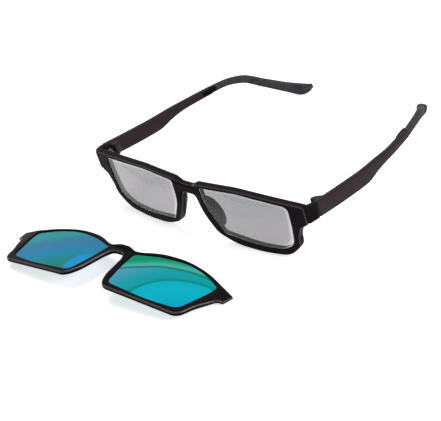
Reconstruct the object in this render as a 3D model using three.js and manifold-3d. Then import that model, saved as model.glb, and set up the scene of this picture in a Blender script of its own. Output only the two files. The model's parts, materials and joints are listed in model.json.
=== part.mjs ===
// Spectacle frame with a separate magnetic clip-on pair of mirrored lenses. Millimetres, +Z up.
// The frame stands on its rims and temple tips; the clip lies face up in front of it.
import * as THREE from 'three';
import Module from 'manifold-3d';

const wasm = await Module();
wasm.setup();

// bow of the front, seen from above
const FACE_FORM = 0.0932;
const LENS_CURVE = 1000;
const LENS_MID = 35;
const BRIDGE_EASE = 7;
const BOW = 0.65;

// front and its lenses
const FRONT_DEPTH = 3.6;
const FRONT_EDGE = 0.5;
const GROOVE = 0.7;
const LENS_RIM = 0.45;
const LENS_INSET = 0.25;
const LENS_FACE = 0.7;
const LENS_BACK = 2;
const PAD_REACH = 4.5;
const PAD_SPREAD = 0.9;

// end pieces and hinges
const SEAM = 11.5;
const SEAM_GAP = 0.3;
const PIN_X = 67.4;
const PIN_Y = SEAM + 0.2;
const ARM_X = PIN_X + 5.2;
const ARM_TOP = 30.4;
const ARM_FOOT = 22.8;
const KNUCKLE_R = 1.6;
const BORE_R = 0.8;
const SCREW_R = 0.5;
const SCREW_HEAD_R = 1.1;
const HINGE_FOOT = ARM_FOOT + 0.4;
const HINGE_TOP = ARM_TOP - 2.6;
const TURN_GAP = 0.3;
const KNUCKLE_SHARE = 0.3125;
const LEAF_T = 1;
const LEAF_L = 5.6;
const LEAF_FIT = 0.15;
const ANCHOR_L = 3.2;
const ANCHOR_T = 2.2;
const BOSS_L = 7;

// temples
const JOIN = 86;
const TONGUE_L = 15;
const TONGUE_H = 1.5;
const TONGUE_T = 1.4;
const SLEEVE_GAP = 0.2;

// clip
const CLIP_DEPTH = 2;
const CLIP_EDGE = 0.6;
const CLIP_GAP = 0.3;

// magnets
const MAGNET_R = 1.2;
const MAGNET_H = 1;
const MAGNET_PLAY = 0.15;
const MAGNET_WALL = 1.1;
const MAGNET_V = 26.2;
const BRIDGE_MAGNET_V = 28.3;

// rest pose
const TILT = THREE.MathUtils.degToRad(3.4);
const CLIP_YAW = THREE.MathUtils.degToRad(1.7);
const CLIP_PITCH = THREE.MathUtils.degToRad(-4);
const CLIP_X = -21.2;
const CLIP_Y = -44.6;
const CLIP_MID_V = 18;

// right halves of the outlines: u, v, corner radius
const FRONT_HALF = [
  [4.4, 31, 2], [8, 33.5, 3], [30.3, 34.5, 60], [PIN_X - 0.6, ARM_TOP + 1.6, 30],
  [PIN_X + 2.6, ARM_TOP + 1.3, 1], [PIN_X + 2.6, ARM_FOOT + 0.4, 1], [PIN_X - 2.8, ARM_FOOT - 1.4, 2],
  [PIN_X - 4.3, 15.7, 8], [PIN_X - 5.2, 8.3, 11], [PIN_X - 12.6, 1.2, 14], [39.7, 0.1, 60],
  [23.8, 1.2, 30], [13, 5.9, 9], [8.8, 13.2, 30], [5.5, 21.2, 20], [4, 26.1, 2.4],
];
const OPENING = [
  [9.2, 31.9, 1.3], [29.2, 32.9, 80], [PIN_X - 6.5, ARM_TOP - 0.1, 3.4], [PIN_X - 7.1, 18.7, 20],
  [PIN_X - 8.6, 8, 8], [PIN_X - 16.6, 4.2, 13], [37.3, 3.7, 50], [16.8, 6.5, 2.6], [9.9, 19.4, 60],
];
const CLIP_HALF = [
  [5.9, 30.5, 6], [10.9, 31.1, 8], [20.9, 34.4, 40], [36.5, 36.9, 60], [PIN_X - 15.6, 34.1, 60],
  [PIN_X - 3.9, 29.6, 40], [PIN_X + 3.6, 27.1, 1.4], [PIN_X + 2.6, 20.8, 1.2], [PIN_X - 0.1, 20.5, 3],
  [PIN_X - 5.8, 10, 20], [PIN_X - 8.2, 1.5, 4], [37.6, 0.8, 200], [14.4, -0.1, 4.5], [8.6, 6.7, 20],
  [5.5, 20.9, 10], [2.5, 25.5, 2.6],
];
const CLIP_OPENING = [
  [8.7, 27.8, 2], [21.9, 32.5, 40], [37.4, 35.1, 60], [PIN_X - 16.1, 32.4, 60], [PIN_X - 5.9, 27.6, 2.4],
  [PIN_X - 6.4, 22.3, 30], [PIN_X - 10.4, 5, 3.4], [38.8, 2.7, 200], [13, 3.6, 2.6], [10.1, 16.4, 60],
];

// temple stations: y, outer x, top z, height, thickness
const TEMPLE = [
  [SEAM + SEAM_GAP, ARM_X, ARM_TOP + 0.1, ARM_TOP - ARM_FOOT - 0.2, 2.6], [30, ARM_X - 0.6, 27.1, 7.7, 2.5],
  [JOIN - 39, ARM_X - 1.1, 24.3, 7.6, 2.4], [JOIN - 29, ARM_X - 1.7, 23.2, 5.6, 2.4],
  [JOIN - 19, ARM_X - 2.3, 21.7, 3.9, 2.6], [JOIN, ARM_X - 5.3, 19.7, 3.2, 3],
];
const TIP = [
  [JOIN + 0.4, ARM_X - 5.3, 19.7, 3.2, 3], [JOIN + 8.7, ARM_X - 7.2, 18.8, 3, 3.3],
  [JOIN + 18.9, ARM_X - 10.4, 16.1, 3.8, 3.4], [JOIN + 29.5, ARM_X - 16.2, 8.4, 4.5, 3.4],
  [JOIN + 38.2, ARM_X - 22.7, 2, 5.4, 3.5], [JOIN + 43, ARM_X - 27.6, -0.9, 6.4, 3.6],
  [JOIN + 45.6, ARM_X - 30.8, -1.9, 4.8, 3.4], [JOIN + 47.4, ARM_X - 32.8, -2.5, 2.8, 2.2],
];

function solid(points, faces) {
  let volume = 0;
  for (const [a, b, c] of faces) {
    volume += points[a].dot(points[b].clone().cross(points[c]));
  }
  const order = volume < 0 ? [0, 2, 1] : [0, 1, 2];
  const vertProperties = new Float32Array(points.length * 3);
  points.forEach((p, i) => p.toArray(vertProperties, i * 3));
  const triVerts = new Uint32Array(faces.flatMap((f) => order.map((k) => f[k])));
  return new wasm.Manifold(new wasm.Mesh({ numProp: 3, vertProperties, triVerts }));
}

function loft(rings) {
  const points = rings.flat();
  const n = rings[0].length;
  const last = (rings.length - 1) * n;
  const faces = [];
  for (let a = 0; a < last; a++) {
    const b = a % n === n - 1 ? a + 1 - n : a + 1;
    faces.push([a, b, b + n], [a, b + n, a + n]);
  }
  for (const start of [0, last]) {
    const centre = new THREE.Vector3();
    for (let i = 0; i < n; i++) {
      centre.addScaledVector(points[start + i], 1 / n);
    }
    const c = points.push(centre) - 1;
    for (let i = 0; i < n; i++) {
      const pair = [start + i, start + ((i + 1) % n)];
      faces.push(start ? [c, ...pair] : [c, ...pair.reverse()]);
    }
  }
  return solid(points, faces);
}

function reshape(body, map) {
  const { vertProperties, triVerts } = body.getMesh();
  const points = [];
  for (let i = 0; i < vertProperties.length; i += 3) {
    points.push(map(new THREE.Vector3().fromArray(vertProperties, i)));
  }
  const faces = [];
  for (let i = 0; i < triVerts.length; i += 3) {
    faces.push([triVerts[i], triVerts[i + 1], triVerts[i + 2]]);
  }
  return solid(points, faces);
}

const moved = (body, matrix) => reshape(body, (p) => p.applyMatrix4(matrix));
const flipped = (body) => reshape(body, (p) => p.set(-p.x, p.y, p.z));

function box(x0, x1, y0, y1, z0, z1) {
  const corners = [[x0, z0], [x1, z0], [x1, z1], [x0, z1]];
  const ring = (y) => corners.map(([x, z]) => new THREE.Vector3(x, y, z));
  return loft([ring(y0), ring(y1)]);
}

function disc(x, y, z0, z1, radius, sides = 20) {
  const ring = (z) => Array.from({ length: sides }, (_, i) => {
    const a = (i / sides) * 2 * Math.PI;
    return new THREE.Vector3(x + radius * Math.cos(a), y + radius * Math.sin(a), z);
  });
  return loft([ring(z0), ring(z1)]);
}

// closed outline from corners, each eased by its radius
function outline(corners, step) {
  const at = (i) => new THREE.Vector2(...corners[(i + corners.length) % corners.length]);
  const points = [];
  const eased = corners.map(([, , radius], i) => {
    const p = at(i);
    const back = at(i - 1).sub(p);
    const ahead = at(i + 1).sub(p);
    const half = back.angleTo(ahead) / 2;
    const cut = Math.min(radius / Math.tan(half), 0.48 * back.length(), 0.48 * ahead.length());
    return new THREE.QuadraticBezierCurve(p.clone().addScaledVector(back.normalize(), cut), p,
      p.clone().addScaledVector(ahead.normalize(), cut));
  });
  eased.forEach((curve, i) => {
    const turn = curve.v1.clone().sub(curve.v0).angle() - curve.v2.clone().sub(curve.v1).angle();
    const sharp = Math.abs(Math.atan2(Math.sin(turn), Math.cos(turn)));
    points.push(...curve.getPoints(Math.ceil(Math.max(curve.getLength() / step, sharp / 0.5))));
    const from = curve.v2;
    const to = eased[(i + 1) % eased.length].v0;
    const parts = Math.ceil(from.distanceTo(to) / step);
    for (let k = 1; k < parts; k++) {
      points.push(from.clone().lerp(to, k / parts));
    }
  });
  return points.filter((p, i) => p.distanceTo(points[(i + 1) % points.length]) > 0.05);
}

function grown(points, by) {
  return points.map((p, i) => {
    const along = points[(i + 1) % points.length].clone().sub(points.at(i - 1)).normalize();
    return new THREE.Vector2(p.x - along.y * by, p.y + along.x * by);
  });
}

const whole = (half) => [...half, ...half.map(([u, v, r]) => [-u, v, r]).reverse()];
const mirrored = (corners) => corners.map(([u, v, r]) => [-u, v, r]).reverse();

function bend(p) {
  const a = Math.hypot(p.x, BRIDGE_EASE);
  const s = a - LENS_MID;
  const slope = ((FACE_FORM + s / LENS_CURVE) * p.x) / a;
  const k = Math.hypot(1, slope);
  const y = BOW + FACE_FORM * s + (s * s) / (2 * LENS_CURVE);
  return new THREE.Vector3(p.x - (p.z * slope) / k, y + p.z / k, p.y);
}

// rigid place on the bowed front: local z points back
function seat(u, v, d) {
  const here = bend(new THREE.Vector3(u, v, d));
  const back = bend(new THREE.Vector3(u, v, d + 1)).sub(here);
  const up = new THREE.Vector3(0, 0, 1);
  return new THREE.Matrix4().makeBasis(up.clone().cross(back), up, back).setPosition(here);
}

function plate(half, openings, depth, edge, start) {
  const contours = [outline(whole(half), 6.5), ...openings];
  const levels = [
    [-edge, 0], [-0.3 * edge, 0.3 * edge], [0, edge], [0, depth - edge], [-0.7 * edge, depth],
  ];
  const size = contours.reduce((sum, points) => sum + points.length, 0);
  const eased = (by) => contours.map((points, i) => grown(points, i ? -by : by));
  const points = levels.flatMap(([by, at]) => (
    eased(by).flat().map((p) => new THREE.Vector3(p.x, p.y, start + at))));
  const faces = [];
  let first = 0;
  contours.forEach((contour, hole) => {
    for (let i = 0; i < contour.length; i++) {
      const pair = [first + i, first + ((i + 1) % contour.length)];
      const [a, b] = hole ? pair : pair.reverse();
      for (let row = 0; row < (levels.length - 1) * size; row += size) {
        faces.push([row + a, row + b, row + b + size], [row + a, row + b + size, row + a + size]);
      }
    }
    first += contour.length;
  });
  const [rim, ...holes] = eased(-edge);
  const flat = [rim, ...holes].flat();
  for (const face of THREE.ShapeUtils.triangulateShape(rim, holes)) {
    const [a, b, c] = face.map((k) => flat[k]);
    const [i, j, k] = b.clone().sub(a).cross(c.clone().sub(a)) > 0 ? face : face.toReversed();
    faces.push([k, j, i], [i, j, k].map((n) => n + (levels.length - 1) * size));
  }
  return solid(points, faces);
}

// stack of outlines: growth, depth and share of the full size
function stacked(points, levels) {
  const middle = points.reduce((m, p) => m.addScaledVector(p, 1 / points.length), new THREE.Vector2());
  return loft(levels.map(([by, depth, share = 1]) => grown(points, by).map((p) => {
    const q = p.clone().sub(middle).multiplyScalar(share).add(middle);
    return new THREE.Vector3(q.x, q.y, depth);
  })));
}

const cutGroove = (points, start, mid, end) => stacked(points, [
  [-0.6, start], [0, start], [GROOVE, mid - 0.4], [GROOVE, mid + 0.4], [0, end], [-0.6, end],
]);

function lens(points, face, back) {
  const mid = (face + back) / 2;
  const flat = stacked(points, [
    [-LENS_INSET, face, 0.5], [-LENS_INSET, face],
    [LENS_RIM, mid - 0.15], [LENS_RIM, mid + 0.15],
    [-LENS_INSET, back], [-LENS_INSET, back, 0.5],
  ]);
  return reshape(flat, bend);
}

const magnet = (u, v, d) => moved(disc(0, 0, 0, MAGNET_H, MAGNET_R), seat(u, v, d));
const pocket = (u, v, d) => (
  moved(disc(0, 0, -0.2, MAGNET_H + 1, MAGNET_R + MAGNET_PLAY), seat(u, v, d)));
const widest = Math.max(...[...OPENING, ...CLIP_OPENING].map(([u]) => u));
const magnetU = widest + GROOVE + MAGNET_WALL + MAGNET_R;
const magnetPlaces = [[-magnetU, MAGNET_V], [magnetU, MAGNET_V], [0, BRIDGE_MAGNET_V]];

// rounded blade swept through stations
function blade(stations, squareStart, samples, inset = 0) {
  const centre = ([y, x, z, h, t]) => new THREE.Vector3(x - t / 2, y, z - h / 2);
  const path = new THREE.CatmullRomCurve3(stations.map(centre), false, 'centripetal');
  const rings = [];
  for (let i = 0; i <= samples; i++) {
    const f = (i / samples) * (stations.length - 1);
    const k = Math.min(Math.floor(f), stations.length - 2);
    const mix = (n) => THREE.MathUtils.lerp(stations[k][n], stations[k + 1][n], f - k) / 2 - inset;
    const at = path.getPoint(i / samples);
    const along = i === 0 && squareStart ? new THREE.Vector3(0, 1, 0) : path.getTangent(i / samples);
    const out = along.clone().cross(new THREE.Vector3(0, 0, 1)).normalize();
    const up = out.clone().cross(along);
    const r = Math.min(0.9, mix(4) * 0.8);
    const ring = [];
    for (const [sx, sz, turn] of [[1, 1, 0], [-1, 1, 1], [-1, -1, 2], [1, -1, 3]]) {
      for (const a of [0, 45, 90]) {
        const angle = THREE.MathUtils.degToRad(a + 90 * turn);
        const x = sx * (mix(4) - r) + r * Math.cos(angle);
        const z = sz * (mix(3) - r) + r * Math.sin(angle);
        ring.push(at.clone().addScaledVector(out, x).addScaledVector(up, z));
      }
    }
    rings.push(ring);
  }
  return loft(rings);
}

// nose pad grown back from the nasal side of the rim, in flat coordinates
function nosePad() {
  const root = [[5.7, 23.6], [6.7, 19], [9.9, 12.6], [13.2, 8.2]];
  const path = new THREE.SplineCurve(root.map((p) => new THREE.Vector2(...p)));
  const rings = [];
  for (let i = 0; i <= 8; i++) {
    const at = path.getPoint(i / 8);
    const along = path.getTangent(i / 8);
    const reach = 0.4 + PAD_REACH * Math.sin((Math.PI * i) / 8) ** 0.7;
    const ring = [];
    for (const [w, d] of [[-1, 0], [-1, 0.8], [-0.5, 1], [0.5, 1], [1, 0.8], [1, 0]]) {
      const depth = FRONT_DEPTH - 1.6 + (reach + 1) * d;
      const spread = PAD_SPREAD * reach * d;
      ring.push(new THREE.Vector3(at.x - along.y * w + spread, at.y + along.x * w, depth));
    }
    rings.push(ring);
  }
  return loft(rings);
}

// rounded block through stations: y, inner x, outer x, foot, top
function block(stations, e) {
  return loft(stations.map(([y, x0, x1, foot, top]) => [
    [x0, foot + e], [x0 + e, foot], [x1 - e, foot], [x1, foot + e],
    [x1, top - e], [x1 - e, top], [x0 + e, top], [x0, top - e],
  ].map(([x, z]) => new THREE.Vector3(x, y, z))));
}

// end of the front that runs back to the seam, with a low seat inside it for the hinge
function endPiece() {
  const shell = block([
    [SEAM - 6.6, ARM_X - 5, ARM_X - 3, ARM_FOOT + 0.3, ARM_TOP + 1.1],
    [SEAM - 4.2, ARM_X - 4.2, ARM_X - 1.4, ARM_FOOT + 0.1, ARM_TOP + 0.7],
    [SEAM - 2.2, ARM_X - 3.6, ARM_X - 0.5, ARM_FOOT, ARM_TOP + 0.4],
    [SEAM, ARM_X - 3.4, ARM_X, ARM_FOOT, ARM_TOP],
  ], 0.7);
  const hingeSeat = block([
    [SEAM - 6.6, ARM_X - 6.6, ARM_X - 3.2, ARM_FOOT + 0.3, HINGE_TOP + 1],
    [SEAM - 3, ARM_X - 6.8, ARM_X - 2.6, ARM_FOOT + 0.1, HINGE_TOP + 0.8],
    [SEAM, ARM_X - 6.8, ARM_X - 2.4, ARM_FOOT, HINGE_TOP + 0.7],
  ], 0.7);
  return shell.add(hingeSeat);
}

const knuckleH = KNUCKLE_SHARE * (HINGE_TOP - HINGE_FOOT - 2 * TURN_GAP);
const midFoot = HINGE_FOOT + knuckleH + TURN_GAP;
const midTop = HINGE_TOP - knuckleH - TURN_GAP;
const bore = disc(PIN_X, PIN_Y, HINGE_FOOT - 3, HINGE_TOP + 3, BORE_R);

const anchorY = PIN_Y + KNUCKLE_R + 0.4;
const bossY = anchorY + 0.2 + LEAF_FIT;
const bladeX = ARM_X - 2.6;

function frontLeaf() {
  const knuckles = [[HINGE_FOOT, HINGE_FOOT + knuckleH], [HINGE_TOP - knuckleH, HINGE_TOP]];
  const [x0, x1] = [PIN_X - LEAF_T / 2, PIN_X + LEAF_T / 2];
  const clear = PIN_Y - KNUCKLE_R - TURN_GAP;
  let body = box(x0, x1, SEAM - LEAF_L, clear, HINGE_FOOT, HINGE_TOP);
  for (const [z0, z1] of knuckles) {
    body = body.add(box(x0, x1, clear - 0.6, PIN_Y, z0, z1)).add(disc(PIN_X, PIN_Y, z0, z1, KNUCKLE_R));
  }
  return body.subtract(bore);
}

const anchor = (fit, front) => box(bladeX + 0.7 - ANCHOR_T - fit, bladeX + 0.7 + fit, anchorY - front,
  anchorY + ANCHOR_L + fit, midFoot - 0.8 * knuckleH - fit, midTop - 0.2 * knuckleH + fit);

function templeLeaf() {
  const arm = box(PIN_X - LEAF_T / 2, PIN_X + KNUCKLE_R, PIN_Y, anchorY + 0.2, midFoot, midTop);
  return disc(PIN_X, PIN_Y, midFoot, midTop, KNUCKLE_R).add(arm).add(anchor(0, 0)).subtract(bore);
}

// moulded lump inside the temple that holds the hinge leaf
const hingeBoss = () => block([
  [bossY, PIN_X - 1.8, bladeX + 0.6, ARM_FOOT + 0.2, ARM_TOP - 0.6],
  [bossY + 0.35 * BOSS_L, PIN_X - 1.3, bladeX + 0.6, ARM_FOOT, ARM_TOP - 0.9],
  [bossY + 0.7 * BOSS_L, PIN_X + 0.6, bladeX + 0.6, ARM_FOOT - 0.3, ARM_TOP - 1.5],
  [bossY + BOSS_L, bladeX - 0.6, bladeX + 0.6, ARM_FOOT - 0.6, ARM_TOP - 2.4],
], 0.6);

function hingeScrew() {
  const shank = disc(PIN_X, PIN_Y, HINGE_FOOT - 0.2, HINGE_TOP + 0.2, SCREW_R);
  const head = disc(PIN_X, PIN_Y, HINGE_TOP + 0.05, HINGE_TOP + 0.65, SCREW_HEAD_R);
  const slot = box(PIN_X - 2, PIN_X + 2, PIN_Y - 0.2, PIN_Y + 0.2, HINGE_TOP + 0.4, HINGE_TOP + 2);
  return shank.add(head).subtract(slot);
}

const openingRight = outline(OPENING, 6.5);
const openingLeft = outline(mirrored(OPENING), 6.5);
const clipRight = outline(CLIP_OPENING, 6.5);
const clipLeft = outline(mirrored(CLIP_OPENING), 6.5);

function frontFrame() {
  let flat = plate(FRONT_HALF, [openingRight, openingLeft], FRONT_DEPTH, FRONT_EDGE, 0);
  const mid = (LENS_FACE + LENS_BACK) / 2;
  const pad = nosePad();
  flat = flat.add(pad).add(flipped(pad));
  for (const points of [openingRight, openingLeft]) {
    flat = flat.subtract(cutGroove(points, mid - 0.8, mid, mid + 0.8));
  }
  const end = endPiece();
  const recess = disc(PIN_X, PIN_Y, HINGE_FOOT - 3, HINGE_TOP + 3, KNUCKLE_R + 0.45);
  const slot = box(PIN_X - LEAF_T / 2 - LEAF_FIT, PIN_X + LEAF_T / 2 + LEAF_FIT,
    SEAM - LEAF_L - LEAF_FIT, PIN_Y, HINGE_FOOT - LEAF_FIT, HINGE_TOP + LEAF_FIT);
  const line = [[-1, 0], [0, 0.8], [1, 0], [0, -0.8]];
  const crease = loft([ARM_FOOT - 5, ARM_TOP + 5].map((z) => (
    line.map(([x, y]) => new THREE.Vector3(ARM_X - 2 + x, SEAM - 5.4 + y, z)))));
  let body = reshape(flat, bend).add(end).add(flipped(end));
  for (const cut of [recess, slot, crease]) {
    body = body.subtract(cut).subtract(flipped(cut));
  }
  for (const [u, v] of magnetPlaces) {
    body = body.subtract(pocket(u, v, FRONT_DEPTH - MAGNET_H - 0.1));
  }
  return body;
}

// tongue along the middle of the temple's end and its tip
function core(a, b, y) {
  const f = (y - a[0]) / (b[0] - a[0]);
  const [x, z, h, t] = [1, 2, 3, 4].map((n) => THREE.MathUtils.lerp(a[n], b[n], f));
  return [y, x - t / 2 + TONGUE_T / 2, z - h / 2 + TONGUE_H / 2, TONGUE_H, TONGUE_T];
}

function temple() {
  const tongue = [
    core(TEMPLE.at(-2), TEMPLE.at(-1), JOIN - 2), core(TIP[0], TIP[1], TIP[1][0]),
    core(TIP[1], TIP[2], JOIN + TONGUE_L),
  ];
  const body = blade(TEMPLE, true, 18).add(hingeBoss()).subtract(anchor(LEAF_FIT, 1));
  return { tongue, body: body.add(blade(tongue, false, 6)) };
}

function templeTip(tongue) {
  const socket = blade(tongue, false, 6, -SLEEVE_GAP);
  return blade(TIP, false, 22).subtract(socket);
}

function clipFrame() {
  const start = -CLIP_GAP - CLIP_DEPTH;
  let flat = plate(CLIP_HALF, [clipRight, clipLeft], CLIP_DEPTH, CLIP_EDGE, start);
  const mid = start + CLIP_DEPTH / 2;
  for (const points of [clipRight, clipLeft]) {
    flat = flat.subtract(cutGroove(points, mid - 0.65, mid, mid + 0.65));
  }
  let body = reshape(flat, bend);
  for (const [u, v] of magnetPlaces) {
    body = body.subtract(pocket(u, v, -CLIP_GAP - MAGNET_H));
  }
  return body;
}

const tilt = new THREE.Matrix4().makeRotationX(TILT);
const lie = new THREE.Matrix4().makeTranslation(CLIP_X, CLIP_Y, 0)
  .multiply(new THREE.Matrix4().makeRotationZ(CLIP_YAW))
  .multiply(new THREE.Matrix4().makeRotationX(CLIP_PITCH - Math.PI / 2))
  .multiply(new THREE.Matrix4().makeTranslation(0, 0, -CLIP_MID_V));

const finishes = {
  shell: { color: 0x2a272a, roughness: 0.55, metalness: 0 },
  rubber: { color: 0x3c3b3f, roughness: 0.85, metalness: 0 },
  tinted: { color: 0xb4b2b8, roughness: 0.08, metalness: 0 },
  mirror: { color: 0x1aa8ac, roughness: 0.06, metalness: 0.9 },
  steel: { color: 0x9a9a9c, roughness: 0.35, metalness: 1 },
  nickel: { color: 0xc2c2c4, roughness: 0.25, metalness: 1 },
};

const spectacles = [];
const clip = [];
const both = (list, name, body, finish) => {
  list.push([`${name}_right`, body, finish], [`${name}_left`, flipped(body), finish]);
};

spectacles.push(['front_frame', frontFrame(), 'shell']);
spectacles.push(['lens_right', lens(openingRight, LENS_FACE, LENS_BACK), 'tinted']);
spectacles.push(['lens_left', lens(openingLeft, LENS_FACE, LENS_BACK), 'tinted']);
both(spectacles, 'hinge_leaf_front', frontLeaf(), 'steel');
both(spectacles, 'hinge_leaf_temple', templeLeaf(), 'steel');
both(spectacles, 'hinge_screw', hingeScrew(), 'steel');
const arm = temple();
both(spectacles, 'temple', arm.body, 'shell');
both(spectacles, 'temple_tip', templeTip(arm.tongue), 'rubber');
const clipMid = -CLIP_GAP - CLIP_DEPTH / 2;
clip.push(['clip_frame', clipFrame(), 'shell']);
clip.push(['clip_lens_right', lens(clipRight, clipMid - 0.45, clipMid + 0.45), 'mirror']);
clip.push(['clip_lens_left', lens(clipLeft, clipMid - 0.45, clipMid + 0.45), 'mirror']);
['left', 'right', 'bridge'].forEach((side, i) => {
  const [u, v] = magnetPlaces[i];
  spectacles.push([`front_magnet_${side}`, magnet(u, v, FRONT_DEPTH - MAGNET_H - 0.05), 'nickel']);
  clip.push([`clip_magnet_${side}`, magnet(u, v, -CLIP_GAP - MAGNET_H - 0.02), 'nickel']);
});

// each set comes down onto the table, then all is centred over the origin
const group = new THREE.Group();
for (const [set, matrix] of [[spectacles, tilt], [clip, lie]]) {
  const pieces = set.map(([name, body, finish]) => {
    const { vertProperties, triVerts } = body.getMesh();
    const geometry = new THREE.BufferGeometry();
    geometry.setAttribute('position', new THREE.BufferAttribute(new Float32Array(vertProperties), 3));
    geometry.setIndex(new THREE.BufferAttribute(new Uint32Array(triVerts), 1));
    geometry.applyMatrix4(matrix);
    const mesh = new THREE.Mesh(geometry, new THREE.MeshStandardMaterial(finishes[finish]));
    mesh.name = name;
    return mesh;
  });
  const low = Math.min(...pieces.map((m) => new THREE.Box3().setFromObject(m).min.z));
  pieces.forEach((m) => m.geometry.translate(0, 0, -low));
  group.add(...pieces);
}
const bounds = new THREE.Box3().setFromObject(group);
const centre = bounds.getCenter(new THREE.Vector3());
for (const mesh of group.children) {
  mesh.geometry.translate(-centre.x, -centre.y, 0);
  mesh.geometry.computeVertexNormals();
}

export default group;
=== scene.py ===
"""Looks for a spectacle frame with a magnetic clip-on of mirrored lenses."""
import json
import math

import bmesh
import bpy
import numpy as np
from mathutils import Matrix, Vector, geometry


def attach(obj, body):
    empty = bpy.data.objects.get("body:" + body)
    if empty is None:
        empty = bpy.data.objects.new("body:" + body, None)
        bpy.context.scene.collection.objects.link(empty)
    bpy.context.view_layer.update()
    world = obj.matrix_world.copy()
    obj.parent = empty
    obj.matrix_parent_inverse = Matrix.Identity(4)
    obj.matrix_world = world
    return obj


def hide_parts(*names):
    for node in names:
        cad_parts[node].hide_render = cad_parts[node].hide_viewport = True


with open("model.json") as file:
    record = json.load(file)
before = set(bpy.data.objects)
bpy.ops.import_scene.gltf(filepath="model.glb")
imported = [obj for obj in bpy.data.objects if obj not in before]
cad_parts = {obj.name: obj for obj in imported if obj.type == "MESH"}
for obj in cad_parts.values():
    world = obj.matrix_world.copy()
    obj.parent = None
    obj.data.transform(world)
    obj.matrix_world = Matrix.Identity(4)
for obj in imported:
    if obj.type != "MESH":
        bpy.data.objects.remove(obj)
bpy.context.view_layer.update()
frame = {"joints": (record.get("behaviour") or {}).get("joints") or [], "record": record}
scene = bpy.context.scene
MM = 0.001

# bow of the front, seen from above, in millimetres
FACE_FORM = 0.0932
LENS_CURVE = 1000
LENS_MID = 35
BRIDGE_EASE = 7
BOW = 0.65

# front and lenses
FRONT_DEPTH = 3.6
FRONT_EDGE = 0.45
BACK_EDGE = 0.4
FLAT_BAND = 0.3
SADDLE_DEPTH = 1.0
SADDLE_HALF = 8.2
SADDLE_RUN = 4.6
GROOVE = 0.7
GROOVE_FLOOR = 0.35
FRONT_GROOVE_HALF = 0.5
LENS_RIM = 0.45
LENS_LAND = 0.15
LENS_INSET = 0.25
LENS_FACE = 0.35
LENS_BACK = 1.65
PAD_REACH = 4.5
PAD_SPREAD = 0.9
PAD_ROOT = 1.6
PAD_LEAST = 0.4
PAD_FULLNESS = 0.55
PAD_STEPS = 24
PAD_PATH = [(5.6, 25.2), (6.6, 19.6), (9.7, 12.6), (13.5, 7.6)]

# end pieces and hinges
SEAM = 11.5
SEAM_GAP = 0.3
PIN_X = 67.4
PIN_Y = SEAM + 0.2
ARM_X = PIN_X + 5.2
ARM_TOP = 30.4
ARM_FOOT = 22.8
END_ROUND = 0.8
SEAT_ROUND = 0.7
BOSS_ROUND = 0.9
KNUCKLE_R = 1.6
KNUCKLE_CLEAR = 0.4
BORE_R = 0.8
SCREW_R = 0.5
SCREW_HEAD_R = 1.1
SCREW_HEAD_H = 0.6
SCREW_SLOT = 0.4
SLOT_L = 10
KNUCKLE_EDGE = 0.15
SCREW_EDGE = 0.08
SCREW_HEAD_EDGE = 0.12
HINGE_FOOT = ARM_FOOT + 0.4
HINGE_TOP = ARM_TOP - 2.6
TURN_GAP = 0.3
KNUCKLE_H = 1.25
MID_KNUCKLE_H = HINGE_TOP - HINGE_FOOT - 2 * KNUCKLE_H - 2 * TURN_GAP
PIN_MID = (HINGE_FOOT + HINGE_TOP) / 2 + 0.225
SCREW_L = HINGE_TOP - HINGE_FOOT + 0.5
SCREW_MID = (HINGE_FOOT + HINGE_TOP) / 2 + 0.1
DRILL_L = 20
LEAF_IN, LEAF_OUT = 66.9, 67.9
LEAF_START = SEAM - 5.6
LEAF_END = PIN_Y - KNUCKLE_R - 0.3
LEAF_ARM_START = 9.2
LEAF_EDGE = 0.15
BAR_EDGE = 0.2
BAR_CLEAR = 0.05
BAR_OUT, BAR_END = 69, 14
ROOT_IN, ROOT_OUT = 68.5, 70.7
ROOT_START, ROOT_END = 13.7, 16.9
ROOT_DROP, ROOT_STEP = 1, 0.25

# temples and tips
JOIN = 86
TIP_START = JOIN + 0.4
# sweeps: samples, edge radius, rounding at the start and at the end
ARM_SWEEP = (70, 0.9, 0.45, 0.3)
TIP_SWEEP = (80, 1.3, 0.35, 0.8)
SHADE_COLLAR_SWEEP = (20, 0.6, 0.3, 0.3)

# clip
CLIP_DEPTH = 2
CLIP_EDGE = 0.7
CLIP_BACK_EDGE = 0.35
CLIP_GAP = 0.3
CLIP_GROOVE_HALF = 0.62
CLIP_LENS_HALF = 0.45
CLIP_LENS_FIT = 0.2
CLIP_YAW = math.radians(1.7)
CLIP_PITCH = math.radians(-4)
CLIP_X = -21.2
CLIP_Y = -44.6
CLIP_MID_V = 18
ARCH_RISE = 0.5
ARCH_HALF = 9.5
ARCH_RUN = 6
ARCH_FOOT = 24
ARCH_CLIMB = 5
TAB_FALL = 1
TAB_START = 63.5
TAB_RUN = 7.5

# magnets
MAGNET_R = 1.2
MAGNET_H = 1
MAGNET_EDGE = 0.12
MAGNET_PROUD = 0.02
MOUNT_RECESS = 0.02
MAGNET_U = 64.5
MAGNET_V = 26.2
BRIDGE_MAGNET_V = 28.3

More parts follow.
